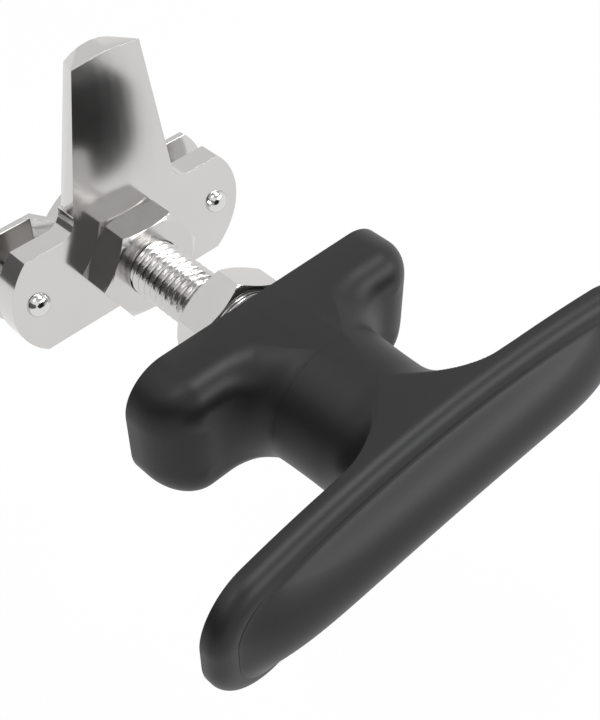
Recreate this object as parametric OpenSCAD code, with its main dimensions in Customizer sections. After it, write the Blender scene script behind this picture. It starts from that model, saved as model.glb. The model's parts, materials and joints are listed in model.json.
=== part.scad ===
// T-handle cam latch: a quarter-turn grip, its escutcheon, a threaded spindle
// and a cam with a tongue and two forked lugs for locking rods.
// Frame: the origin is on the spindle's axis, in the escutcheon's door face.
// +X is to the user's right, +Y goes into the door and +Z is up.

/* [Escutcheon] */
// Length of the escutcheon
escutcheon_len = 53; // [48:1:70]
// Height of the escutcheon and of the bar
body_h = 23; // [22.8:0.2:30]
// Diameter of the round neck and collar
neck_d = 22.4; // [21.8:0.1:22.4]
// Corner radius of the escutcheon's outline
escutcheon_corner_r = 5; // [2:0.5:8]
// Depth of the escutcheon's front face beside the collar
flank_depth = 10.4; // [9.5:0.1:13]
// Radius that rounds the escutcheon's left and right ends, seen from above
escutcheon_end_r = 9; // [4:0.5:9]
// Radius of the escutcheon's top and bottom front edges
escutcheon_edge_r = 3.2; // [1:0.2:5]
// Radius of the collar's sweep where it runs out on the front face
collar_foot_r = 18; // [14:0.5:20]
// Depth of the collar's end face, where the grip begins
collar_depth = 15; // [14.5:0.5:22]
// Diameter of the boss that locates in the door's hole
boss_d = 16; // [15:0.5:17]
// Length of the boss behind the door face
boss_len = 3; // [1.5:0.5:6]

/* [Grip] */
// Length of the bar
bar_len = 87; // [70:1:120]
// Corner radius of the bar's outline
bar_corner_r = 7.5; // [4:0.5:10]
// Distance from the door face to the bar's back edge, at its middle
bar_stand_off = 32.4; // [30:0.2:45]
// Width of the flat strip along the bar's top
bar_flat = 1.2; // [0.5:0.1:4]
// Radius of the bar's front edges
bar_edge_r = 3; // [1.5:0.25:4]
// How far the bar's ends sweep forward of its middle
bar_sweep = 3.6; // [0:0.2:6]
// Radius of the flare between the neck and the bar's back
flare_r = 6.5; // [3:0.5:9]
// Rise of the front cover at its middle, above its edge
cover_rise = 5.2; // [2:0.2:8]
// Height of the front cover's edge
cover_lip = 0.3; // [0.2:0.05:0.8]

/* [Spindle] */
// Diameter of the threaded spindle
spindle_d = 10; // [9:0.5:10.5]
// Width across the two flats that key the cam
flats_af = 8; // [7:0.25:8.5]
// Width of the square end that drives the spindle
square_af = 7; // [6.5:0.25:7]
// Length of the square end
square_len = 12; // [8:0.5:13]
// Length of spindle that shows behind the rear nut
spindle_tail = 2; // [1:0.5:8]
// Diameter of the screw that holds the grip on the spindle
grip_screw_d = 4; // [3:0.5:4]
// Diameter of the grip screw's head
grip_screw_head_d = 8; // [7:0.5:9]
// Height of the grip screw's head
grip_screw_head_h = 2.6; // [2:0.1:3]
// Length of the grip screw under its head
grip_screw_len = 10; // [8:0.5:12]

/* [Bearing and stop] */
// Outside diameter of the bearing bush
bush_od = 13; // [12.5:0.25:13.5]
// Thickness of the spindle seal's ring
seal_cord_d = 1.4; // [1.2:0.05:1.4]
// Thickness of the thrust washer under the grip
thrust_washer_t = 1; // [0.6:0.1:1.6]
// Diameter of the thrust washer
thrust_washer_d = 15; // [14.5:0.25:15.5]
// Diameter of the pin that stops the quarter turn
stop_pin_d = 2; // [1.5:0.1:2.2]
// Distance of the stop pin from the spindle's axis
stop_pin_r = 9.3; // [9.2:0.05:9.5]
// Depth of the stop pin in the collar
stop_pin_seat = 5; // [3:0.5:8]
// Length of the stop pin that reaches into the grip
stop_pin_reach = 1.6; // [1:0.1:2.5]
// Turn of the grip between its stops
quarter_turn = 90; // [60:5:100]

/* [Nuts and washers] */
// Width across the flats of the three nuts
nut_af = 17; // [16:0.5:17]
// Thickness of the retaining nut and of the nut in front of the cam
nut_h = 6; // [4:0.25:8]
// Thickness of the rear nut
rear_nut_h = 5; // [4:0.25:8]
// Outside diameter of the small washers
washer_od = 15; // [13:0.5:15.5]
// Thickness of the retaining washer
retaining_washer_t = 0.5; // [0.4:0.1:1.5]
// Height of the disc spring
disc_spring_h = 0.5; // [0.4:0.05:1]
// Thickness of the disc spring's sheet
disc_spring_t = 0.3; // [0.2:0.05:0.35]
// Thickness of the split lock washer
lock_washer_t = 2.2; // [1.6:0.1:3]
// Width of the lock washer's split
lock_washer_split = 1.2; // [0.8:0.1:2]

/* [Cam] */
// Distance from the door face to the cam plate's front
cam_distance = 32; // [26:1:60]
// Thickness of the cam plate
cam_t = 4; // [3:0.25:6]
// Distance from the axis to the end of each lug
lug_reach = 24; // [23.5:0.25:28]
// Radius of the lugs' rounded ends
lug_end_r = 13; // [11:0.5:14]
// Height of the lugs above the axis
lug_top = 9.3; // [8.5:0.1:11]
// Depth of the lugs below the axis
lug_bottom = 10.3; // [9:0.1:12]
// Distance from the axis to the tongue's tip
tongue_reach = 38.3; // [30:0.1:55]
// Half width of the tongue's front face at the tip
tongue_tip_half = 6.2; // [4.5:0.1:8]
// Half width of the tongue at the spindle's axis
tongue_root_half = 12; // [10.5:0.1:13]
// How much narrower the tip's back edge is, on each side
tongue_tip_bevel = 1.6; // [0.5:0.1:2.5]
// Radius of the tip's back edge
tongue_tip_back_r = 9; // [7:0.5:14]
// Fillet between the tongue and the lugs
tongue_fillet_r = 3; // [1:0.25:4]
// Width of the fork's slot for a rod
slot_w = 4.7; // [4.5:0.1:7]
// Thickness of the bent strap behind the cam plate
strap_t = 1.2; // [1:0.1:2]
// Half length of the strap's flat middle
strap_seat_half = 10.2; // [10.2:0.1:11]
// Distance along the lug over which the strap steps back
strap_step = 2.7; // [2:0.1:3.2]

/* [Rod pins] */
// Distance between the two rod pins
pin_spacing = 38.2; // [36:0.2:40]
// Diameter of the rod pins
pin_d = 4; // [3:0.25:5]
// Height of the domed pin ends in front of the cam plate
pin_dome = 0.9; // [0.5:0.1:1.5]
// Diameter of the pins' rear heads
pin_head_d = 7; // [6.5:0.25:8]
// Thickness of the pins' rear heads
pin_head_h = 1.2; // [0.8:0.1:2]

/* [Fixings] */
// Distance between the two threaded inserts
insert_spacing = 36; // [35:0.5:40]
// Outside diameter of the inserts
insert_od = 6.4; // [6:0.2:7]
// Tapping diameter of the inserts
insert_id = 4.2; // [3.3:0.1:4.6]
// Length of the inserts
insert_len = 7; // [5:0.5:7.5]

/* [Fits] */
// Radial clearance of everything that turns or slides
run_clearance = 0.05; // [0.02:0.01:0.1]
// Gap between the collar and the grip
seam_gap = 0.15; // [0.1:0.05:0.4]

/* [Hidden] */
$fn = 64;

// Steps of the lofted outlines
arc_steps = 6;
long_steps = 26;
short_steps = 4;
front_steps = 12;
edge_steps = 8;
back_steps = 4;
dome_steps = 9;

// Small overlap that keeps cuts clean
cut = 0.5;
// Share of the collar's sweep over which the escutcheon's long edges fade out
edge_fade = 0.4;
// Edge breaks
edge_break = 0.4;
pin_edge_break = 0.3;
// Grip screw: room under the cover, washer, floor of its pocket and room at its tip
screw_head_gap = 0.8;
screw_washer_t = 1;
screw_web = 2;
screw_tip_gap = 1;
pocket_gap = 0.3;
// Room at the end of the square socket
socket_gap = 0.2;

neck_r = neck_d / 2;
body_half = body_h / 2;
spindle_r = spindle_d / 2;
bore_r = spindle_r + run_clearance;
bar_half = bar_len / 2;
screw_washer_r = grip_screw_head_d / 2 + 0.7;

// Stations along Y, from the user's side to the inside of the door
grip_back_y = -collar_depth - seam_gap;
bar_back_y = -bar_stand_off;
bar_round_y = bar_back_y - edge_break - bar_flat;
cover_seat_y = bar_round_y - bar_edge_r;
screw_washer_y = cover_seat_y + screw_head_gap + grip_screw_head_h;
screw_pocket_y = screw_washer_y + screw_washer_t;
screw_tip_y = screw_washer_y + grip_screw_len;
socket_end_y = screw_pocket_y + screw_web;
square_end_y = socket_end_y + socket_gap;
square_start_y = square_end_y + square_len;
seal_y = -collar_depth + seal_cord_d;
spring_y = boss_len + run_clearance;
retaining_washer_y = spring_y + disc_spring_h;
retaining_nut_y = retaining_washer_y + retaining_washer_t;
cam_back_y = cam_distance + cam_t;
strap_back_y = cam_back_y + strap_t;
cheek_y = cam_back_y + slot_w;
rear_nut_y = strap_back_y + lock_washer_t;
spindle_end_y = rear_nut_y + rear_nut_h + spindle_tail;

// Turns a shape's Z axis to +Y, with its X kept
module along_y() {
    rotate([-90, 0, 0]) children();
}

// A round solid along Y from y0 to y1
module rod(r, y0, y1) {
    translate([0, y0, 0]) along_y() cylinder(r = r, h = y1 - y0);
}

// A ring along Y from y0 to y1
module ring(r_out, r_in, y0, y1) {
    difference() {
        rod(r_out, y0, y1);
        rod(r_in, y0 - cut, y1 + cut);
    }
}

// Extrudes a drawing made in X and Z along Y, from y0 to y1
module plate(y0, y1) {
    translate([0, y1, 0]) rotate([90, 0, 0]) linear_extrude(y1 - y0) children();
}

// Lofted outlines

// Draws points towards the middle of a long side, where the round neck needs them
function gathered(u) = sign(u) * pow(abs(u), 1.6);

// Points of one rounded corner
function corner(cx, cz, r, from) = [
    for (i = [0:arc_steps])
        let (a = from + 90 * i / arc_steps)
        [cx + r * cos(a), cz + r * sin(a)]
];

// Points of a rounded rectangle with half sizes a and b, all the way round
function rounded_outline(a, b, r) = concat(
    corner(a - r, b - r, r, 0),
    [for (i = [1:long_steps - 1]) [(a - r) * gathered(1 - 2 * i / long_steps), b]],
    corner(r - a, b - r, r, 90),
    [for (i = [1:short_steps - 1]) [-a, (b - r) * (1 - 2 * i / short_steps)]],
    corner(r - a, r - b, r, 180),
    [for (i = [1:long_steps - 1]) [(a - r) * gathered(2 * i / long_steps - 1), -b]],
    corner(a - r, r - b, r, 270),
    [for (i = [1:short_steps - 1]) [a, (b - r) * (2 * i / short_steps - 1)]]
);

// An outline pulled in towards the round neck: share 1 is the outline and 0 is the neck
function necked(outline, share) = [
    for (p = outline) p * (neck_r + (norm(p) - neck_r) * share) / norm(p)
];

// An outline at y, with its ends swept forward by sweep over the half length
function at_y(outline, y, sweep, half) = [
    for (p = outline) [p[0], y - sweep * pow(p[0] / half, 2), p[1]]
];

// A closed solid through rings of equal point count, closed by a fan to a point at each end
module loft(rings, first_point, last_point) {
    n = len(rings[0]);
    k = len(rings);
    points = concat([for (ring = rings) each ring], [first_point, last_point]);
    sides = [
        for (j = [0:k - 2], i = [0:n - 1])
            let (a = j * n + i, b = j * n + (i + 1) % n, c = a + n, d = b + n)
            each [[a, d, b], [a, c, d]]
    ];
    first_fan = [for (i = [0:n - 1]) [k * n, i, (i + 1) % n]];
    last_fan = [for (i = [0:n - 1]) [k * n + 1, (k - 1) * n + (i + 1) % n, (k - 1) * n + i]];
    polyhedron(points = points, faces = concat(sides, first_fan, last_fan), convexity = 6);
}

// Escutcheon and what it carries

escutcheon_half = escutcheon_len / 2;

// Outline of the escutcheon, drawn in by inset
function escutcheon_outline(inset) = rounded_outline(
    escutcheon_half - inset, body_half - inset, escutcheon_corner_r - inset
);

// A value from 0 to 1 that starts and ends gently
function ease(t) = t * t * (3 - 2 * t);

// How far an edge rounded by r has dropped, at distance d in from the edge
function edge_drop(r, d) = r - sqrt(r * r - pow(r - min(max(d, 0), r), 2));

// Depth of the escutcheon's front at x and z: a flat front with rounded ends and edges,
// from which the collar rises in a hollow sweep. The edges fade out where they meet the collar.
function front_depth(x, z) =
    let (
        out = min(max((norm([x, z]) - neck_r) / (collar_foot_r - neck_r), 0), 1),
        sweep = (collar_depth - flank_depth) * (1 - sqrt(1 - pow(1 - out, 2))),
        end_drop = edge_drop(escutcheon_end_r, escutcheon_half - abs(x)),
        long_drop = edge_drop(escutcheon_edge_r, body_half - abs(z)) * ease(min(out / edge_fade, 1))
    )
    flank_depth + sweep - end_drop - long_drop;

function escutcheon_rings() = concat(
    [
        at_y(escutcheon_outline(edge_break), 0, 0, 1),
        at_y(escutcheon_outline(0), -edge_break, 0, 1)
    ],
    [
        for (i = [0:front_steps])
            let (share = (1 + cos(180 * i / front_steps)) / 2)
            [for (p = necked(escutcheon_outline(0), share)) [p[0], -front_depth(p[0], p[1]), p[1]]]
    ]
);

module escutcheon() {
    color("#262626") difference() {
        union() {
            loft(escutcheon_rings(), [0, 0, 0], [0, -collar_depth, 0]);
            rod(boss_d / 2, -edge_break, boss_len);
        }
        rod(bush_od / 2, -collar_depth - cut, boss_len + cut);
        for (side = [-1, 1])
            translate([side * insert_spacing / 2, 0, 0]) rod(insert_od / 2, -insert_len, cut);
        translate([0, 0, stop_pin_r])
            rod(stop_pin_d / 2, -collar_depth - cut, -collar_depth + stop_pin_seat);
    }
}

// A threaded insert for a fixing screw
module insert(side) {
    color("goldenrod") translate([side * insert_spacing / 2, 0, 0])
        ring(insert_od / 2, insert_id / 2, -insert_len, 0);
}

module bearing_bush() {
    color("tan") ring(bush_od / 2, bore_r, seal_y, boss_len);
}

module spindle_seal() {
    seal_r = (bush_od / 2 + spindle_r) / 2;
    color("#1c1c1c") translate([0, seal_y - seal_cord_d / 2, 0]) along_y()
        rotate_extrude() translate([seal_r, 0]) circle(d = seal_cord_d);
}

module stop_pin() {
    color("silver") translate([0, 0, stop_pin_r])
        rod(stop_pin_d / 2, -collar_depth - stop_pin_reach, -collar_depth + stop_pin_seat);
}

// Grip

// Outline of the bar, drawn in by inset
function bar_outline(inset) = rounded_outline(bar_half - inset, body_half - inset, bar_corner_r - inset);

// The bar's swept outline at y, drawn in by inset
function bar_ring(inset, y) = at_y(bar_outline(inset), y, bar_sweep, bar_half);

// A swept ring shrunk to share u, on the surface that it lies on
function shrunk(ring, y, u) = [for (p = ring) [p[0] * u, y + (p[1] - y) * u * u, p[2] * u]];

// The bar from its swept back to the cover's seat
function bar_rings() = concat(
    [for (i = [1:back_steps]) shrunk(bar_ring(edge_break, bar_back_y), bar_back_y, i / back_steps)],
    [bar_ring(0, bar_back_y - edge_break)],
    [
        for (i = [0:edge_steps])
            let (a = 90 * i / edge_steps)
            bar_ring(bar_edge_r * (1 - cos(a)), bar_round_y - bar_edge_r * sin(a))
    ]
);

// The round neck and its flare, cut level with the bar's top and bottom
module neck() {
    foot_r = neck_r + flare_r;
    foot_y = bar_back_y - bar_sweep * pow(foot_r / bar_half, 2);
    end_y = (foot_y + bar_round_y) / 2;
    intersection() {
        along_y() rotate_extrude() difference() {
            translate([0, end_y]) square([foot_r, grip_back_y - end_y]);
            translate([foot_r, foot_y + flare_r]) circle(r = flare_r);
            translate([neck_r, foot_y + flare_r]) square([foot_r, grip_back_y - foot_y]);
        }
        plate(end_y - cut, grip_back_y + cut) square([3 * foot_r, body_h], center = true);
    }
}

// Arc slot in which the stop pin travels over the quarter turn
module stop_slot() {
    half_w = stop_pin_d / 2 + 4 * run_clearance;
    margin = asin((stop_pin_d / 2 + run_clearance) / stop_pin_r);
    depth = stop_pin_reach + 4 * run_clearance;
    translate([0, -collar_depth - depth, 0]) along_y()
        rotate([0, 0, -90 - quarter_turn - margin])
            rotate_extrude(angle = quarter_turn + 2 * margin)
                translate([stop_pin_r - half_w, 0]) square([2 * half_w, depth + cut]);
}

module grip() {
    socket_w = square_af + 2 * run_clearance;
    color("#232323") difference() {
        union() {
            neck();
            loft(bar_rings(), [0, bar_back_y, 0], [0, cover_seat_y, 0]);
        }
        rod(bore_r, square_start_y - cut, grip_back_y + cut);
        rod(thrust_washer_d / 2 + run_clearance, -collar_depth - thrust_washer_t - run_clearance, cut);
        plate(socket_end_y, square_start_y) square(socket_w, center = true);
        rod(grip_screw_d / 2 + run_clearance, screw_pocket_y - cut, socket_end_y + cut);
        rod(screw_washer_r + pocket_gap, cover_seat_y - cut, screw_pocket_y);
        stop_slot();
    }
}

// Height of the cover's crown over its edge, at share u of the way out to edge point p
function crown(p, u) =
    let (
        along = max(1 - pow(u * p[0] / (bar_half - bar_edge_r), 2), 0),
        across = max(1 - pow(u * p[2] / (body_half - bar_edge_r), 2), 0)
    )
    cover_rise * pow(along, 0.8) * across * (1 - pow(u, 10));

module grip_cover() {
    edge = bar_ring(bar_edge_r, cover_seat_y);
    rings = concat(
        [edge],
        [
            for (i = [0:dome_steps - 1])
                let (u = cos(90 * i / dome_steps))
                [
                    for (p = edge)
                        let (seat = cover_seat_y + (p[1] - cover_seat_y) * u * u)
                        [p[0] * u, seat - cover_lip - crown(p, u), p[2] * u]
                ]
        ]
    );
    color("#2b2b2b")
        loft(rings, [0, cover_seat_y, 0], [0, cover_seat_y - cover_lip - cover_rise, 0]);
}

module grip_screw_washer() {
    color("silver")
        ring(screw_washer_r, grip_screw_d / 2 + run_clearance, screw_washer_y, screw_pocket_y);
}

module grip_screw() {
    color("dimgray") {
        rod(grip_screw_d / 2, screw_washer_y - cut, screw_tip_y);
        difference() {
            rod(grip_screw_head_d / 2, screw_washer_y - grip_screw_head_h, screw_washer_y);
            translate([0, screw_washer_y - grip_screw_head_h - cut, 0]) along_y()
                cylinder(d = grip_screw_d, h = cut + grip_screw_head_h / 2, $fn = 6);
        }
    }
}

module thrust_washer() {
    color("ivory") ring(
        thrust_washer_d / 2, bore_r,
        -collar_depth - thrust_washer_t - run_clearance, -collar_depth - run_clearance
    );
}

// Spindle with its nuts and washers

module spindle() {
    tap_depth = screw_tip_y + screw_tip_gap;
    color("silver") difference() {
        union() {
            plate(square_end_y, square_start_y + cut) square(square_af, center = true);
            rod(spindle_r, square_start_y, cam_distance);
            intersection() {
                rod(spindle_r, cam_distance - cut, spindle_end_y);
                plate(cam_distance - cut, spindle_end_y) square([flats_af, spindle_d + cut], center = true);
            }
        }
        rod(grip_screw_d / 2 + run_clearance, square_end_y - cut, tap_depth);
    }
}

// Keyed hole for the spindle's flats
module flats_hole() {
    intersection() {
        circle(r = bore_r);
        square([flats_af + 2 * run_clearance, spindle_d + 1], center = true);
    }
}

// A hexagon nut from y0 with both ends chamfered
module nut(y0, h) {
    flat_r = nut_af / 2;
    corner_r = flat_r / cos(30);
    chamfer = (corner_r - flat_r) * tan(30);
    color("silver") difference() {
        intersection() {
            translate([0, y0, 0]) along_y() cylinder(r = corner_r, h = h, $fn = 6);
            translate([0, y0, 0]) along_y() rotate_extrude() polygon([
                [0, 0], [flat_r, 0], [corner_r, chamfer], [corner_r, h - chamfer], [flat_r, h], [0, h]
            ]);
        }
        rod(bore_r, y0 - cut, y0 + h + cut);
    }
}

module retaining_nut() {
    nut(retaining_nut_y, nut_h);
}

module cam_nut() {
    nut(cam_distance - nut_h, nut_h);
}

module rear_nut() {
    nut(rear_nut_y, rear_nut_h);
}

module disc_spring() {
    color("slategray") translate([0, spring_y, 0]) along_y() rotate_extrude() polygon([
        [bore_r, 0], [washer_od / 2, disc_spring_h - disc_spring_t],
        [washer_od / 2, disc_spring_h], [bore_r, disc_spring_t]
    ]);
}

module retaining_washer() {
    color("silver") ring(washer_od / 2, bore_r, retaining_washer_y, retaining_nut_y);
}

module lock_washer() {
    color("silver") difference() {
        ring(washer_od / 2, bore_r, strap_back_y, rear_nut_y);
        translate([0, strap_back_y - cut, -lock_washer_split / 2])
            cube([washer_od, lock_washer_t + 2 * cut, lock_washer_split]);
    }
}

// Cam

// Outline that the cam plate's lugs and the strap's cheeks share
module lug_outline() {
    end_x = lug_reach - lug_end_r;
    intersection() {
        union() {
            square([2 * end_x, 2 * lug_end_r], center = true);
            for (side = [-1, 1]) translate([side * end_x, 0]) circle(r = lug_end_r);
        }
        translate([-lug_reach, -lug_bottom]) square([2 * lug_reach, lug_bottom + lug_top]);
    }
}

// Half of the tongue's taper, per unit of height
tongue_slope = (tongue_root_half - tongue_tip_half) / tongue_reach;

// One face of the tongue: tapered sides and a round tip of radius tip_r
module tongue_face(root_half, tip_half, tip_r) {
    intersection() {
        polygon([
            [-root_half, 0], [root_half, 0],
            [tip_half, tongue_reach], [-tip_half, tongue_reach]
        ]);
        translate([0, tongue_reach - tip_r]) circle(r = tip_r);
    }
}

// The tongue, with its tip narrower and rounder behind than in front
module tongue() {
    skin = 0.02;
    hull($fn = 32) {
        plate(cam_distance, cam_distance + skin)
            tongue_face(tongue_root_half, tongue_tip_half, tongue_reach);
        plate(cam_back_y - skin, cam_back_y) intersection() {
            tongue_face(tongue_root_half, tongue_tip_half - tongue_tip_bevel, tongue_reach);
            translate([0, tongue_reach - tongue_tip_back_r]) union() {
                circle(r = tongue_tip_back_r);
                translate([-tongue_root_half, -tongue_reach])
                    square([2 * tongue_root_half, tongue_reach]);
            }
        }
    }
}

// Fillet in the corner between the tongue's right side and the lug's top
module tongue_fillet() {
    lean = atan(tongue_slope);
    centre_z = lug_top + tongue_fillet_r;
    side_x = tongue_root_half - tongue_slope * centre_z;
    centre_x = side_x + tongue_fillet_r / cos(lean);
    difference() {
        polygon([
            [side_x - tongue_fillet_r, lug_top - cut], [centre_x, lug_top - cut],
            [centre_x, lug_top], [side_x, centre_z + tongue_fillet_r * sin(lean)],
            [side_x - tongue_fillet_r, centre_z]
        ]);
        translate([centre_x, centre_z]) circle(r = tongue_fillet_r);
    }
}

module cam_plate() {
    color("silver") difference() {
        union() {
            tongue();
            plate(cam_distance, cam_back_y) {
                lug_outline();
                tongue_fillet();
                mirror([1, 0]) tongue_fillet();
            }
        }
        plate(cam_distance - cut, cam_back_y + cut) flats_hole();
        for (side = [-1, 1])
            translate([side * pin_spacing / 2, 0, 0])
                rod(pin_d / 2, cam_distance - cut, cam_back_y + cut);
    }
}

// The strap seen from above: flat middle, and on each side a step and a rear cheek
module strap_section() {
    // The step's inner side is its outer side moved by the sheet's thickness
    back_shift = strap_t * (norm([strap_step, slot_w]) - strap_step) / slot_w;
    front = [
        [strap_seat_half, cam_back_y], [strap_seat_half + strap_step, cheek_y], [lug_reach + cut, cheek_y]
    ];
    back = [
        [lug_reach + cut, cheek_y + strap_t], [strap_seat_half + strap_step - back_shift, cheek_y + strap_t],
        [strap_seat_half - back_shift, strap_back_y]
    ];
    right = concat(front, back);
    left = [for (i = [len(right) - 1:-1:0]) [-right[i][0], right[i][1]]];
    polygon(concat(right, left));
}

module cam_strap() {
    color("silver") difference() {
        intersection() {
            translate([0, 0, -lug_bottom - cut])
                linear_extrude(lug_bottom + lug_top + 2 * cut) strap_section();
            plate(cam_back_y - cut, cheek_y + strap_t + cut) lug_outline();
        }
        plate(cam_back_y - cut, strap_back_y + cut) flats_hole();
        for (side = [-1, 1])
            translate([side * pin_spacing / 2, 0, 0])
                rod(pin_d / 2, cheek_y - cut, cheek_y + strap_t + cut);
    }
}

// A rod pin: domed in front of the cam plate, headed behind the strap's cheek
module rod_pin(side) {
    dome_r = (pow(pin_d / 2, 2) + pow(pin_dome, 2)) / (2 * pin_dome);
    head_y = cheek_y + strap_t;
    color("gainsboro") translate([side * pin_spacing / 2, 0, 0]) {
        rod(pin_d / 2, cam_distance, head_y + cut);
        intersection() {
            translate([0, cam_distance - pin_dome + dome_r, 0]) sphere(r = dome_r);
            rod(pin_d / 2, cam_distance - 2 * pin_dome, cam_distance + cut);
        }
        translate([0, head_y, 0]) along_y() rotate_extrude() polygon([
            [0, 0], [pin_head_d / 2, 0], [pin_head_d / 2, pin_head_h - pin_edge_break],
            [pin_head_d / 2 - pin_edge_break, pin_head_h], [0, pin_head_h]
        ]);
    }
}

escutcheon();
insert(-1);  // insert_left
insert(1);  // insert_right
bearing_bush();
spindle_seal();
stop_pin();
grip();
grip_cover();
grip_screw();
grip_screw_washer();
thrust_washer();
spindle();
disc_spring();
retaining_washer();
retaining_nut();
cam_nut();
cam_plate();
cam_strap();
rod_pin(-1);  // rod_pin_left
rod_pin(1);  // rod_pin_right
lock_washer();
rear_nut();
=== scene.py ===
"""Looks of a T-handle cam latch: a satin black grip and escutcheon, and bright plated steel behind them.

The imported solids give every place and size. The moulded pieces and the threaded spindle are made
again here with fine surfaces; the plates, nuts and pins keep their solids, with broken edges.
"""

import json
import math

import bmesh
import bpy
from mathutils import Matrix, Vector


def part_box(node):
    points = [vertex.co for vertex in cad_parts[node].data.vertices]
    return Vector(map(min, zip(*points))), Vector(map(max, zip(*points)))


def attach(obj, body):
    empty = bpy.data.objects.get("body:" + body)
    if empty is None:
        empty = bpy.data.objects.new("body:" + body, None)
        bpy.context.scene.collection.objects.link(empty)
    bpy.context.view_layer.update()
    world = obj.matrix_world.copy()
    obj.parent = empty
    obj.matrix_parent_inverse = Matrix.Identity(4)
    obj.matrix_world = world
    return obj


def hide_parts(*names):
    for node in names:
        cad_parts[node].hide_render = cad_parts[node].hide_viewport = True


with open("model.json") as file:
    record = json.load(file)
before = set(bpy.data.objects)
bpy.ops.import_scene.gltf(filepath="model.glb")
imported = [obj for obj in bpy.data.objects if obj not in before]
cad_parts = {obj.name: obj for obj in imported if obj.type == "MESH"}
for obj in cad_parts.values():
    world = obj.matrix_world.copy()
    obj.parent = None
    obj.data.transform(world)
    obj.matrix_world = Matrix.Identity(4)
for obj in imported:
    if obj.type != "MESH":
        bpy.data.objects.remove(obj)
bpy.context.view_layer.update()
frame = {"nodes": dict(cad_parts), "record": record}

scene = bpy.context.scene
record = frame["record"]
body_of = {node: body for body, nodes in record["behaviour"]["bodies"].items() for node in nodes}
slot_of = {part["node"]: part["material_slot"] for part in record["subparts"]}
box_of = {node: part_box(node) for node in frame["nodes"]}

MM = 0.001

# Camera, at the angle from which the latch is shown
CAMERA_AT = Vector((-88.376, -98.353, 132.561)) * MM
CAMERA_AZIMUTH = math.radians(-44.563)
CAMERA_ELEVATION = math.radians(45.77)
FOCAL_LENGTH_PX = 1200.526
FRAME_HEIGHT_PX = 720
SENSOR = 36.0

# Moulded forms that the boxes of the solids don't give
NECK_R = 11.5 * MM
COLLAR_R = 11.8 * MM
WAIST_Y = -24.0 * MM
ESCUTCHEON_TOP_CORNER_R = 7.5 * MM
ESCUTCHEON_LOW_CORNER_R = 7.6 * MM
ESCUTCHEON_END_R = 7.5 * MM
ESCUTCHEON_EDGE_R = 4.6 * MM
FLANK_DEPTH = 9.9 * MM
COLLAR_FOOT_R = 18.0 * MM
EDGE_FADE = 0.4
BOSS_R = 8.0 * MM
BUSH_SEAT_R = 6.5 * MM
INSERT_R = 3.2 * MM
BAR_TOP_CORNER_R = 8.0 * MM
BAR_LOW_CORNER_R = 11.0 * MM
RIM_TOP_CORNER_R = 5.4 * MM
RIM_LOW_CORNER_R = 8.2 * MM
BAR_BACK_Y = -32.4 * MM
BAR_FLAT = 0.9 * MM
BAR_EDGE_R = 2.8 * MM
BAR_END_R = 3.4 * MM
BAR_SWEEP = 2.9 * MM
FLARE_R = 8.2 * MM
COVER_LIP = 0.06 * MM
EDGE_BREAK = 0.15 * MM
COVER_RISE = 5.5 * MM
COVER_FULLNESS = 0.36
FINE_BREAK = 0.2 * MM
SEAM = 0.012 * MM
SEAM_BREAK = 0.01 * MM

# Spindle's thread
THREAD_R = 5.0 * MM
THREAD_PITCH = 1.5 * MM
THREAD_DEPTH = 0.85 * MM
FLATS_HALF = 4.0 * MM
SQUARE_HALF = 3.5 * MM
SQUARE_END_Y = -18.4 * MM

# How nuts are turned round the spindle, in degrees
NUT_TURNS = {"retaining_nut": 30.0, "rear_nut": 30.0}

# Rod pins
SHANK_R = 2.0 * MM
DOME_R = 2.1 * MM
DOME_RISE = 1.5 * MM


class Wire:
    """A socket of a node tree. Arithmetic on wires adds Math nodes."""

    def __init__(self, tree, socket=None):
        self.tree = tree
        self.socket = socket

    def node(self, kind, settings=None, inputs=None, output=0):
        """Adds a node: its settings first, then the values or wires of its sockets."""
        made = self.tree.nodes.new(kind)
        for name, value in (settings or {}).items():
            setattr(made, name, value)
        for name, value in (inputs or {}).items():
            if isinstance(value, Wire):
                self.tree.links.new(value.socket, made.inputs[name])
            else:
                made.inputs[name].default_value = value
        return Wire(self.tree, made.outputs[output])

    def maths(self, operation, first, second):
        return self.node("ShaderNodeMath", {"operation": operation}, {0: first, 1: second})

    def __add__(self, other):
        return self.maths("ADD", self, other)

    def __radd__(self, other):
        return self.maths("ADD", other, self)

    def __sub__(self, other):
        return self.maths("SUBTRACT", self, other)

    def __rsub__(self, other):
        return self.maths("SUBTRACT", other, self)

    def __mul__(self, other):
        return self.maths("MULTIPLY", self, other)

    def __rmul__(self, other):
        return self.maths("MULTIPLY", other, self)


# Finishes


def blank(name):
    """A new material with its output node, and a wire to start from."""
    material = bpy.data.materials.new(name)
    material.use_nodes = True
    material.node_tree.nodes.clear()
    return material, Wire(material.node_tree)


def close(tree_wire, shader):
    """Joins a shader to the output of its material."""
    output = tree_wire.tree.nodes.new("ShaderNodeOutputMaterial")
    tree_wire.tree.links.new(shader.socket, output.inputs["Surface"])


def grain(wire, scale, detail=2.0, stretch=(1, 1, 1)):
    """Noise from 0 to 1 in the part's own metres, stretched along an axis where it is brushed."""
    place = wire.node("ShaderNodeTexCoord", output="Object")
    spread = wire.node(
        "ShaderNodeMapping", {"vector_type": "POINT"},
        {"Vector": place, "Scale": [scale * s for s in stretch]},
    )
    return wire.node("ShaderNodeTexNoise", None, {"Vector": spread, "Scale": 1.0, "Detail": detail}, "Fac")


def shade(wire, dark, light, factor):
    """A colour between two, by a factor."""
    return wire.node(
        "ShaderNodeMix", {"data_type": "RGBA"}, {"Factor": factor, 6: (*dark, 1), 7: (*light, 1)}, 2
    )


def surface(wire, **inputs):
    """A Principled shader; names with spaces are written with underscores."""
    named = {name.replace("_", " "): value for name, value in inputs.items()}
    return wire.node("ShaderNodeBsdfPrincipled", None, named)


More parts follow.
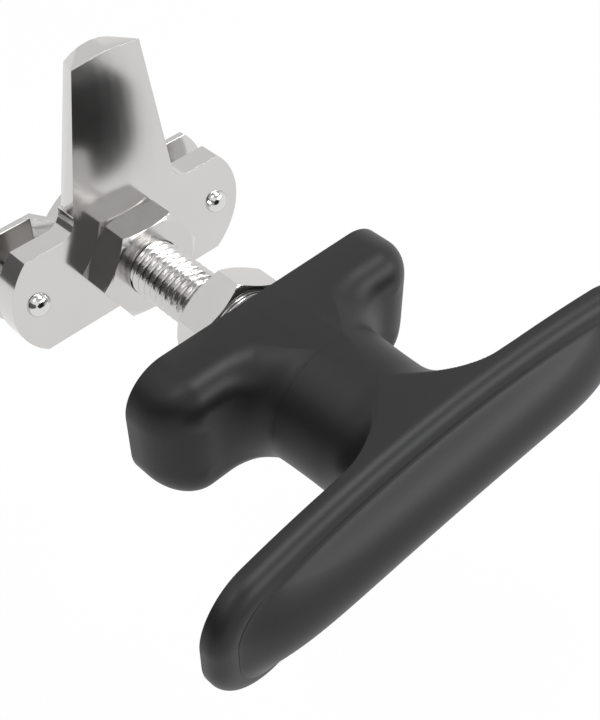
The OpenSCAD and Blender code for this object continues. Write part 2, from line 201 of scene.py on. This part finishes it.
def black_moulding():
    """Satin black moulded plastic with a fine spark-eroded grain."""
    material, wire = blank("black_moulding")
    cloud = grain(wire, 45, 3)
    fine = grain(wire, 5200, 1)
    bump = wire.node("ShaderNodeBump", None, {"Strength": 0.05, "Distance": 0.00002, "Height": fine})
    shader = surface(
        wire,
        Base_Color=shade(wire, (0.0075, 0.0075, 0.0078), (0.011, 0.011, 0.0114), cloud),
        Specular_IOR_Level=0.3,
        Roughness=0.38 + 0.06 * cloud + 0.04 * fine,
        Normal=bump,
    )
    close(wire, shader)
    return material


def plating(name, dark, light, rough, rough_spread, stretch=(1, 1, 1)):
    """Bright plate on steel: a slow change of shade, and fine lines that break the gloss a little."""
    material, wire = blank(name)
    cloud = grain(wire, 60, 2)
    lines = grain(wire, 900, 3, stretch)
    bump = wire.node("ShaderNodeBump", None, {"Strength": 0.03, "Distance": 0.00001, "Height": lines})
    shader = surface(
        wire,
        Base_Color=shade(wire, dark, light, cloud),
        Metallic=1.0,
        Roughness=rough + rough_spread * lines,
        Normal=bump,
    )
    close(wire, shader)
    return material


def plain_finish(name, dark, light, rough, metallic=0.0):
    """An inner piece's finish: a mottled colour with a slightly uneven gloss."""
    material, wire = blank(name)
    cloud = grain(wire, 400, 3)
    fine = grain(wire, 3000, 2)
    bump = wire.node("ShaderNodeBump", None, {"Strength": 0.06, "Distance": 0.00002, "Height": fine})
    shader = surface(
        wire,
        Base_Color=shade(wire, dark, light, cloud),
        Metallic=metallic,
        Roughness=rough + 0.08 * fine,
        Normal=bump,
    )
    close(wire, shader)
    return material


FINISHES = {
    "black_moulding": black_moulding(),
    "cam_plating": plating("cam_plating", (0.60, 0.59, 0.58), (0.64, 0.632, 0.62), 0.12, 0.05, (1, 1, 0.1)),
    "plated_steel": plating("plated_steel", (0.58, 0.57, 0.56), (0.64, 0.63, 0.62), 0.15, 0.05, (1, 0.2, 1)),
    "pin_steel": plating("pin_steel", (0.66, 0.66, 0.65), (0.70, 0.70, 0.69), 0.10, 0.03),
    "spring_steel": plating("spring_steel", (0.30, 0.30, 0.31), (0.40, 0.40, 0.41), 0.25, 0.1),
    "black_steel": plain_finish("black_steel", (0.02, 0.02, 0.02), (0.05, 0.05, 0.05), 0.35, 0.6),
    "brass": plain_finish("brass", (0.62, 0.44, 0.18), (0.74, 0.56, 0.26), 0.22, 1.0),
    "acetal": plain_finish("acetal", (0.72, 0.70, 0.65), (0.80, 0.78, 0.73), 0.4),
    "seal_rubber": plain_finish("seal_rubber", (0.012, 0.012, 0.012), (0.025, 0.025, 0.025), 0.6),
}


# Making pieces


def piece(name, node, rows, loop=False, first=None, last=None, crease=35.0):
    """A piece that stands for a node: a skin over rows of points, smooth up to the crease angle.

    loop joins the last row to the first. first and last are points that close the ends.
    """
    count = len(rows[0])
    points = [point for row in rows for point in row]
    faces = []
    spans = len(rows) if loop else len(rows) - 1
    for j in range(spans):
        here = j * count
        there = (j + 1) % len(rows) * count
        for i in range(count):
            k = (i + 1) % count
            faces.append((here + i, there + i, there + k, here + k))
    for end, row, turn in ((first, 0, 1), (last, (len(rows) - 1) * count, -1)):
        if end is not None:
            points.append(end)
            faces += [(len(points) - 1, row + i, row + (i + 1) % count)[::turn] for i in range(count)]
    mesh = bpy.data.meshes.new(name)
    mesh.from_pydata([tuple(point) for point in points], [], faces)
    return dressed(name, node, mesh, crease)


def dressed(name, node, mesh, crease):
    """Cleans a mesh and makes it the piece that stands for a node."""
    work = bmesh.new()
    work.from_mesh(mesh)
    bmesh.ops.remove_doubles(work, verts=work.verts, dist=1e-7)
    bmesh.ops.dissolve_degenerate(work, edges=work.edges, dist=1e-7)
    bmesh.ops.recalc_face_normals(work, faces=work.faces)
    work.to_mesh(mesh)
    work.free()
    mesh.shade_smooth()
    mesh.set_sharp_from_angle(angle=math.radians(crease))
    made = bpy.data.objects.new(name, mesh)
    scene.collection.objects.link(made)
    made.data.materials.append(FINISHES[slot_of[node]])
    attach(made, body_of[node])
    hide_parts(node)
    return made


def circle(r, y, count):
    """A circle about the spindle's axis."""
    turns = [2 * math.pi * i / count for i in range(count)]
    return [Vector((r * math.cos(a), y, r * math.sin(a))) for a in turns]


def ease(t):
    """0 to 1, starting and ending gently."""
    return t * t * (3 - 2 * t)


def clamp(t):
    return min(max(t, 0.0), 1.0)


def rounded_outline(half_x, half_z, top_r, low_r, long_steps, corner_steps, short_steps):
    """Points of a rounded rectangle and their outward directions, right round from its right end."""
    outline = []

    def corner(side, level, start):
        r = top_r if level > 0 else low_r
        centre = Vector((side * (half_x - r), 0, level * (half_z - r)))
        for i in range(corner_steps + 1):
            a = math.radians(start + 90 * i / corner_steps)
            out = Vector((math.cos(a), 0, math.sin(a)))
            outline.append((centre + r * out, out))

    def straight(start, end, out, steps):
        for i in range(1, steps):
            outline.append((start.lerp(end, i / steps), out))

    top_x, low_x = half_x - top_r, half_x - low_r
    top_z, low_z = half_z - top_r, low_r - half_z
    corner(1, 1, 0)
    straight(Vector((top_x, 0, half_z)), Vector((-top_x, 0, half_z)), Vector((0, 0, 1)), long_steps)
    corner(-1, 1, 90)
    straight(Vector((-half_x, 0, top_z)), Vector((-half_x, 0, low_z)), Vector((-1, 0, 0)), short_steps)
    corner(-1, -1, 180)
    straight(Vector((-low_x, 0, -half_z)), Vector((low_x, 0, -half_z)), Vector((0, 0, -1)), long_steps)
    corner(1, -1, 270)
    straight(Vector((half_x, 0, low_z)), Vector((half_x, 0, top_z)), Vector((1, 0, 0)), short_steps)
    return outline


# Escutcheon


def edge_drop(r, d):
    """How far an edge rounded by r has dropped, at distance d in from the edge."""
    return r - math.sqrt(r * r - (r - min(max(d, 0.0), r)) ** 2)


def escutcheon_shell():
    low, high = box_of["escutcheon"]
    half_x, half_z = high.x, high.z
    collar_y, boss_y = low.y, high.y
    outline = rounded_outline(
        half_x, half_z, ESCUTCHEON_TOP_CORNER_R, ESCUTCHEON_LOW_CORNER_R, 120, 18, 14
    )

    def depth(x, z):
        out = clamp((math.hypot(x, z) - COLLAR_R) / (COLLAR_FOOT_R - COLLAR_R))
        sweep = (-collar_y - FLANK_DEPTH) * (1 - math.sqrt(1 - (1 - out) ** 2))
        corner_r = ESCUTCHEON_TOP_CORNER_R if z > 0 else ESCUTCHEON_LOW_CORNER_R
        past_x = abs(x) - (half_x - corner_r)
        past_z = abs(z) - (half_z - corner_r)
        reach = math.hypot(max(past_x, 0), max(past_z, 0))
        inside = corner_r - (reach if reach > 0 else max(past_x, past_z))
        endwise = (max(past_x, 0) / reach) ** 2 if reach > 0 else 0.0
        rounding = ESCUTCHEON_EDGE_R + (ESCUTCHEON_END_R - ESCUTCHEON_EDGE_R) * endwise
        fade = endwise + (1 - endwise) * ease(clamp(out / EDGE_FADE))
        return FLANK_DEPTH + sweep - edge_drop(rounding, inside) * fade

    def round_row(r, y):
        aims = [p.normalized() for p, _ in outline]
        return [Vector((r * aim.x, y, r * aim.z)) for aim in aims]

    def front_row(share):
        row = []
        for p, _ in outline:
            reach = math.hypot(p.x, p.z)
            scale = (COLLAR_R + (reach - COLLAR_R) * share) / reach
            x, z = p.x * scale, max(-half_z, min(half_z, p.z * scale))
            row.append(Vector((x, -depth(x, z), z)))
        return row

    back_steps, front_steps = 4, 44
    rows = [
        round_row(BUSH_SEAT_R, boss_y),
        round_row(BOSS_R - FINE_BREAK, boss_y),
        round_row(BOSS_R, boss_y - FINE_BREAK),
        round_row(BOSS_R, 0),
    ]
    for i in range(back_steps + 1):
        a = math.pi / 2 * i / back_steps
        inset = EDGE_BREAK * (1 - math.sin(a))
        rows.append([p - out * inset + Vector((0, -EDGE_BREAK * (1 - math.cos(a)), 0)) for p, out in outline])
    rows += [front_row((1 + math.cos(math.pi * i / front_steps)) / 2) for i in range(front_steps + 1)]
    rows.append(round_row(BUSH_SEAT_R, collar_y))
    shell = piece("escutcheon_shell", "escutcheon", rows, loop=True)
    for node in ("insert_left", "insert_right"):
        insert_low, insert_high = box_of[node]
        drill(shell, (insert_low + insert_high) / 2, INSERT_R, insert_low.y, insert_high.y)
    return shell


def drill(piece_made, centre, r, y_from, y_to):
    """Takes a round hole along Y out of a piece."""
    rim = 48
    over = 0.5 * MM
    ends = [[p + Vector((centre.x, 0, centre.z)) for p in circle(r, y, rim)] for y in (y_from, y_to + over)]
    sides = [(i, (i + 1) % rim, rim + (i + 1) % rim, rim + i) for i in range(rim)]
    mesh = bpy.data.meshes.new("drill")
    mesh.from_pydata(
        [tuple(p) for end in ends for p in end], [],
        sides + [tuple(range(rim))[::-1], tuple(range(rim, 2 * rim))],
    )
    cutter = bpy.data.objects.new("drill", mesh)
    scene.collection.objects.link(cutter)
    cut = piece_made.modifiers.new("drill", "BOOLEAN")
    cut.operation = "DIFFERENCE"
    cut.solver = "EXACT"
    cut.object = cutter
    bpy.context.view_layer.update()
    shaped = bpy.data.meshes.new_from_object(piece_made.evaluated_get(bpy.context.evaluated_depsgraph_get()))
    piece_made.modifiers.clear()
    piece_made.data = shaped
    bpy.data.objects.remove(cutter)


# Grip and its cover


def bar_outlines():
    """The bar's outline with its outward directions, and point for point the rim that its cover fills."""
    high = box_of["grip"][1]
    steps = (160, 20, 12)
    outline = rounded_outline(high.x, high.z, BAR_TOP_CORNER_R, BAR_LOW_CORNER_R, *steps)
    rim = rounded_outline(high.x - BAR_END_R, high.z - BAR_EDGE_R, RIM_TOP_CORNER_R, RIM_LOW_CORNER_R, *steps)
    return outline, [p for p, _ in rim]


def swept(point, y):
    """A point of the bar at y, with the bar's forward sweep towards its ends."""
    half = box_of["grip"][1].x
    return Vector((point.x, y - BAR_SWEEP * (point.x / half) ** 2, point.z))


def grip_shell():
    high = box_of["grip"][1]
    half_x, half_z = high.x, high.z
    back_y = box_of["escutcheon"][0].y - SEAM
    round_y = BAR_BACK_Y - EDGE_BREAK - BAR_FLAT
    foot_r = NECK_R + FLARE_R
    foot_x = math.sqrt(foot_r ** 2 - half_z ** 2)
    outline, rim = bar_outlines()

    def on_flare(r, p):
        """Where the bar's outline point p lies on the flare's ring of radius r."""
        angle = ring_angle(p)
        x, z = r * math.cos(angle), r * math.sin(angle)
        return Vector((x, 0, max(-half_z, min(half_z, z))))

    def ring_angle(p):
        """Turns the outline's points evenly round the neck: its flat stretch over the foot stays on top."""
        corner = math.asin(half_z / foot_r)
        if abs(p.x) <= foot_x:
            share = p.x / foot_x
            up = math.pi / 2 - share * (math.pi / 2 - corner)
            return math.copysign(up, p.z) if p.z else up
        side = side_share(p)
        turn = corner * side
        return turn if p.x > 0 else math.pi - turn

    def side_share(p):
        """From -1 at the foot's lower corner, round the bar's end, to 1 at its upper corner."""
        corner_r = BAR_TOP_CORNER_R if p.z > 0 else BAR_LOW_CORNER_R
        flat = half_x - corner_r - foot_x
        arc = math.pi / 2 * corner_r
        upright = half_z - corner_r
        whole = flat + arc + upright
        x, z = abs(p.x), abs(p.z)
        if x <= half_x - corner_r:
            walked = flat - (half_x - corner_r - x)
            share = 1 - walked / whole
        elif z >= half_z - corner_r:
            angle = math.atan2(x - (half_x - corner_r), z - (half_z - corner_r))
            share = 1 - (flat + corner_r * angle) / whole
        else:
            share = z / whole
        return math.copysign(share, p.z)

    rows = [
        [on_flare(0.45 * NECK_R, p) + Vector((0, back_y, 0)) for p, _ in outline],
        [on_flare(COLLAR_R - SEAM_BREAK, p) + Vector((0, back_y, 0)) for p, _ in outline],
    ]
    waist_steps = 14
    for i in range(waist_steps):
        share = i / waist_steps
        r = NECK_R + (COLLAR_R - NECK_R) * (1 - share) ** 2
        y = back_y - SEAM_BREAK + (WAIST_Y - back_y) * share
        rows.append([on_flare(r, p) + Vector((0, y, 0)) for p, _ in outline])
    flare_steps, back_steps, edge_steps = 36, 10, 14
    for i in range(flare_steps + 1):
        a = math.pi / 2 * i / flare_steps
        r = foot_r - FLARE_R * math.cos(a)
        y = BAR_BACK_Y + FLARE_R * (1 - math.sin(a))
        spread = (r - NECK_R) / FLARE_R
        rows.append([
            Vector((q.x, y - spread * BAR_SWEEP * (q.x / half_x) ** 2, q.z))
            for q in (on_flare(r, p) for p, _ in outline)
        ])

    def break_at(p):
        """The back edge is broken everywhere but over the flare, where the top runs on to the neck."""
        return EDGE_BREAK * ease(clamp((abs(p.x) - foot_x) / (4 * MM)))

    for i in range(1, back_steps + 1):
        share = i / back_steps
        row = []
        for p, out in outline:
            target = p - out * break_at(p)
            row.append(swept(on_flare(foot_r, p).lerp(target, share), BAR_BACK_Y))
        rows.append(row)
    for i in range(1, 5):
        a = math.pi / 2 * i / 4
        rows.append([
            swept(p - out * break_at(p) * (1 - math.sin(a)), BAR_BACK_Y - EDGE_BREAK * (1 - math.cos(a)))
            for p, out in outline
        ])
    for i in range(edge_steps + 1):
        a = math.pi / 2 * i / edge_steps
        rows.append([
            swept(p.lerp(inner, 1 - math.cos(a)), round_y - BAR_EDGE_R * math.sin(a))
            for (p, _), inner in zip(outline, rim)
        ])
    seat_y = round_y - BAR_EDGE_R
    return piece(
        "grip_shell", "grip", rows,
        first=Vector((0, back_y, 0)), last=Vector((0, seat_y, 0)), crease=25.0,
    )


def cover_shell():
    seat_y = BAR_BACK_Y - EDGE_BREAK - BAR_FLAT - BAR_EDGE_R
    front_y = seat_y - COVER_LIP - COVER_RISE
    half_x = box_of["grip"][1].x - BAR_END_R
    half_z = box_of["grip"][1].z - BAR_EDGE_R
    outline, rim = bar_outlines()

    def crown(p, u):
        along = max(1 - (u * p.x / half_x) ** 2, 0)
        across = max(1 - (u * p.z / half_z) ** 2, 0)
        return COVER_RISE * along ** COVER_FULLNESS * across * (1 - u ** 10)

    lip_break = 0.05 * MM
    rows = [[swept(p, seat_y) for p in rim]]
    for i in range(4):
        a = math.pi / 2 * i / 3
        rows.append([
            swept(p - out * lip_break * (1 - math.cos(a)), seat_y - COVER_LIP + lip_break * (1 - math.sin(a)))
            for p, (_, out) in zip(rim, outline)
        ])
    dome_steps = 40
    inner = 1 - 2 * lip_break / half_z
    for i in range(1, dome_steps):
        u = inner * math.cos(math.pi / 2 * i / dome_steps)
        rows.append([
            swept(p * u, seat_y) - Vector((0, COVER_LIP + crown(p, u), 0))
            for p in rim
        ])
    return piece(
        "grip_cover_shell", "grip_cover", rows,
        first=Vector((0, seat_y, 0)), last=Vector((0, front_y, 0)), crease=40.0,
    )


# Spindle


def threaded_spindle():
    low, high = box_of["spindle"]
    square_end = low.y
    thread_start = box_of["retaining_washer"][0].y
    flats_start = box_of["cam_plate"][0].y
    count, per_pitch = 72, 10

    def crest(y, angle):
        """Radius on the thread at y and angle: a V with a blunt crest and a rounded root."""
        turn = (y / THREAD_PITCH - angle / (2 * math.pi)) % 1.0
        ridge = 1 - abs(2 * turn - 1)
        ridge = clamp((ridge - 0.06) / 0.80)
        return THREAD_R - THREAD_DEPTH * (1 - ridge)

    def thread_row(y):
        lead = clamp((high.y - y) / (0.7 * THREAD_PITCH))
        row = []
        for i in range(count):
            angle = 2 * math.pi * i / count
            r = min(crest(y, angle), THREAD_R - THREAD_DEPTH * (1 - lead))
            x = r * math.cos(angle)
            if y > flats_start:
                x = max(-FLATS_HALF, min(FLATS_HALF, x))
            row.append(Vector((x, y, r * math.sin(angle))))
        return row

    def square_row(y, inset=0.0):
        row = []
        for i in range(count):
            angle = 2 * math.pi * i / count
            c, s = math.cos(angle), math.sin(angle)
            reach = (SQUARE_HALF - inset) / max(abs(c), abs(s))
            reach = min(reach, THREAD_R)
            row.append(Vector((reach * c, y, reach * s)))
        return row

    rows = [
        square_row(square_end, FINE_BREAK), square_row(square_end + FINE_BREAK), square_row(SQUARE_END_Y),
        circle(THREAD_R, SQUARE_END_Y, count), circle(THREAD_R, thread_start - THREAD_PITCH, count),
    ]
    steps = round((high.y - thread_start) / THREAD_PITCH * per_pitch)
    rows += [thread_row(thread_start + (high.y - thread_start) * i / steps) for i in range(steps + 1)]
    return piece(
        "spindle_thread", "spindle", rows,
        first=Vector((0, square_end, 0)), last=Vector((0, high.y, 0)), crease=50.0,
    )


# Plates, nuts and pins


def eased(node, width, turn=0.0, crease=26.0):
    """A solid's own faces, turned about the spindle, with its sharp edges rounded to catch the light."""
    solid = frame["nodes"][node]
    work = bmesh.new()
    work.from_mesh(solid.data)
    work.transform(Matrix.Rotation(math.radians(turn), 4, "Y") @ solid.matrix_world)
    bmesh.ops.remove_doubles(work, verts=work.verts, dist=1e-6)
    bmesh.ops.dissolve_limit(work, angle_limit=math.radians(0.5), verts=work.verts, edges=work.edges)
    sharp = [
        edge for edge in work.edges
        if len(edge.link_faces) == 2 and edge.calc_face_angle() > math.radians(crease)
    ]
    bmesh.ops.bevel(
        work, geom=sharp, offset=width, offset_type="OFFSET", segments=2, profile=0.5,
        affect="EDGES", clamp_overlap=True,
    )
    mesh = bpy.data.meshes.new(node + "_eased")
    work.to_mesh(mesh)
    work.free()
    made = dressed(node + "_eased", node, mesh, 40.0)
    even = made.modifiers.new("even_faces", "WEIGHTED_NORMAL")
    even.keep_sharp = True
    return made


def rod_pin(node):
    """A riveted pin: a full dome in front of the plate, a shank, and a flat head behind the strap."""
    low, high = box_of[node]
    centre_x = (low.x + high.x) / 2
    plate_y = box_of["cam_plate"][0].y
    count, dome_steps = 48, 10
    head_r = (high.x - low.x) / 2

    def row(r, y):
        return [p + Vector((centre_x, 0, 0)) for p in circle(r, y, count)]

    rows = []
    for i in range(1, dome_steps + 1):
        a = math.pi / 2 * i / dome_steps
        rows.append(row(DOME_R * math.sin(a), plate_y - DOME_RISE * math.cos(a)))
    head_y = box_of["cam_strap"][1].y
    rows += [
        row(SHANK_R, plate_y), row(SHANK_R, head_y), row(head_r, head_y),
        row(head_r, high.y - FINE_BREAK), row(head_r - FINE_BREAK, high.y),
    ]
    return piece(
        node + "_riveted", node, rows,
        first=Vector((centre_x, plate_y - DOME_RISE, 0)), last=Vector((centre_x, high.y, 0)), crease=40.0,
    )


def finish_solid(node):
    """Gives a solid that stays as it is its own finish."""
    solid = frame["nodes"][node]
    solid.data.materials.clear()
    solid.data.materials.append(FINISHES[slot_of[node]])


EDGE_WIDTHS = {
    "cam_plate": 0.18 * MM, "cam_strap": 0.12 * MM, "retaining_nut": 0.12 * MM, "cam_nut": 0.12 * MM,
    "rear_nut": 0.12 * MM, "lock_washer": 0.12 * MM, "retaining_washer": 0.08 * MM,
}
PINS = ("rod_pin_left", "rod_pin_right")
SHELLS = ("escutcheon", "grip", "grip_cover", "spindle")

escutcheon_shell()
grip_shell()
cover_shell()
threaded_spindle()
for node in PINS:
    rod_pin(node)
for node, width in EDGE_WIDTHS.items():
    eased(node, width, NUT_TURNS.get(node, 0.0))
for node in frame["nodes"]:
    if node not in SHELLS + PINS and node not in EDGE_WIDTHS:
        finish_solid(node)


# Studio


def seen_directly(wire):
    """1 where a ray comes from the camera, a reflection or a clear material."""
    ways = ("Is Camera Ray", "Is Glossy Ray", "Is Transmission Ray")
    camera, glossy, clear = [wire.node("ShaderNodeLightPath", output=way) for way in ways]
    return camera + glossy + clear


def pale_floor():
    below = 90 * MM
    half = 4.0
    mesh = bpy.data.meshes.new("floor")
    corners = [(-half, -half, -below), (half, -half, -below), (half, half, -below), (-half, half, -below)]
    mesh.from_pydata(corners, [], [(0, 1, 2, 3)])
    floor = bpy.data.objects.new("floor", mesh)
    scene.collection.objects.link(floor)
    material, wire = blank("pale_floor")
    paper = wire.node("ShaderNodeBsdfDiffuse", None, {"Color": (0.85, 0.85, 0.85, 1)})
    glow = wire.node("ShaderNodeEmission", None, {"Color": (1, 1, 1, 1), "Strength": 1.0})
    share = 0.95 * wire.maths("MINIMUM", seen_directly(wire), 1.0)
    close(wire, wire.node("ShaderNodeMixShader", None, {0: share, 1: paper, 2: glow}))
    floor.data.materials.append(material)


def studio_world():
    world = bpy.data.worlds.new("studio")
    scene.world = world
    world.use_nodes = True
    world.node_tree.nodes.clear()
    wire = Wire(world.node_tree)
    seen = wire.maths("MINIMUM", seen_directly(wire), 1.0)
    ambient = 0.45
    light = wire.node(
        "ShaderNodeBackground", None,
        {"Color": (1, 1, 1, 1), "Strength": ambient + (1 - ambient) * seen},
    )
    output = world.node_tree.nodes.new("ShaderNodeOutputWorld")
    world.node_tree.links.new(light.socket, output.inputs["Surface"])


def card(name, centre, across, up, brightness):
    """A plain card beside the latch that only reflections see, as studios use to shape bright metal."""
    centre, across, up = Vector(centre), Vector(across), Vector(up)
    mesh = bpy.data.meshes.new(name)
    corners = [centre - across - up, centre + across - up, centre + across + up, centre - across + up]
    mesh.from_pydata([tuple(corner) for corner in corners], [], [(0, 1, 2, 3)])
    made = bpy.data.objects.new(name, mesh)
    scene.collection.objects.link(made)
    material, wire = blank(name)
    close(wire, wire.node("ShaderNodeEmission", None, {"Color": (1, 1, 1, 1), "Strength": brightness}))
    made.data.materials.append(material)
    made.visible_camera = False
    made.visible_diffuse = False
    made.visible_shadow = False


def softbox(name, at, size, watts):
    lamp = bpy.data.lights.new(name, "AREA")
    lamp.shape = "RECTANGLE"
    lamp.size, lamp.size_y = size
    lamp.energy = watts
    made = bpy.data.objects.new(name, lamp)
    made.location = at
    made.rotation_euler = (-Vector(at)).to_track_quat("-Z", "Y").to_euler()
    scene.collection.objects.link(made)


def camera():
    lens = bpy.data.cameras.new("camera")
    lens.sensor_width = SENSOR
    lens.lens = SENSOR * FOCAL_LENGTH_PX / FRAME_HEIGHT_PX
    lens.clip_start = 0.01
    made = bpy.data.objects.new("camera", lens)
    made.location = CAMERA_AT
    level = math.cos(CAMERA_ELEVATION)
    back = Vector((
        math.sin(CAMERA_AZIMUTH) * level, -math.cos(CAMERA_AZIMUTH) * level, math.sin(CAMERA_ELEVATION),
    ))
    made.rotation_euler = (-back).to_track_quat("-Z", "Y").to_euler()
    scene.collection.objects.link(made)
    scene.camera = made


camera()
pale_floor()
studio_world()
card("left_flag", (-0.42, 0.05, 0.10), (0, 0.70, 0), (0, 0, 0.17), 0.12)
card("back_ceiling", (0.05, 0.45, 0.55), (0.85, 0, 0), (0, 0.45, 0), 0.85)
card("front_ceiling", (0.35, -0.40, 0.60), (0.50, 0, 0), (0, 0.38, 0), 0.55)
softbox("front_softbox", (0.50, -0.75, 0.34), (0.8, 0.30), 4.0)
softbox("edge_softbox", (0.25, -0.13, 0.53), (0.22, 0.22), 1.5)
softbox("top_softbox", (-0.25, 0.1, 0.75), (0.45, 0.45), 3.0)
scene.view_settings.view_transform = "Standard"
